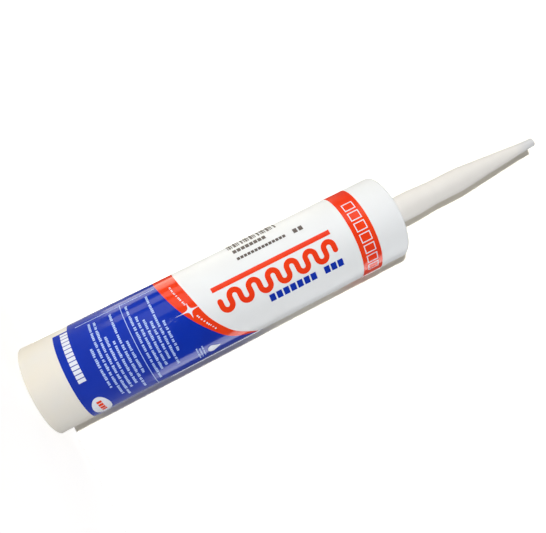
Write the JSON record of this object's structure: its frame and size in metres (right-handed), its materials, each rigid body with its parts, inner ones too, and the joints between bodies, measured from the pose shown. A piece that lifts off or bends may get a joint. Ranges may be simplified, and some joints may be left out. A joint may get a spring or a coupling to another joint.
{
  "type": "caulk tube",
  "caption": "Sealant cartridge: a round plastic tube with a tapered closed nozzle, a sliding piston in its open rear end, and printed bands and fields of colour.",
  "frame": {"origin": "centre of the open rear rim, on the surface that the tube stands on", "axes": "+Z along the tube towards the nozzle's tip, -Y towards the middle of the label's front, +X to its right as it stands"},
  "size_m": [0.0502, 0.0504, 0.3184],
  "materials": {
    "barrel": "satin white polyethylene",
    "nozzle": "satin natural polyethylene, slightly translucent",
    "piston": "satin natural polyethylene",
    "sealant": "soft uncured paste",
    "ink_blue": "glossy blue ink",
    "ink_red": "glossy red ink",
    "ink_black": "grey-black ink",
    "ink_white": "white ink"
  },
  "bodies": {
    "barrel": {"barrel": "barrel", "sealant": "sealant", "print_blue": "ink_blue", "print_red": "ink_red", "print_black": "ink_black", "print_white": "ink_white"},
    "piston": {"piston": "piston"},
    "nozzle": {"nozzle": "nozzle"}
  },
  "joints": [
    {"name": "piston_slide", "type": "slide", "parent": "barrel", "child": "piston", "axis": [0, 0, 1], "range_m": [0, 0.171], "deforming": ["sealant"]},
    {"name": "nozzle_off", "type": "slide", "parent": "barrel", "child": "nozzle", "axis": [0, 0, 1], "range_m": [0, 0.03]}
  ]
}
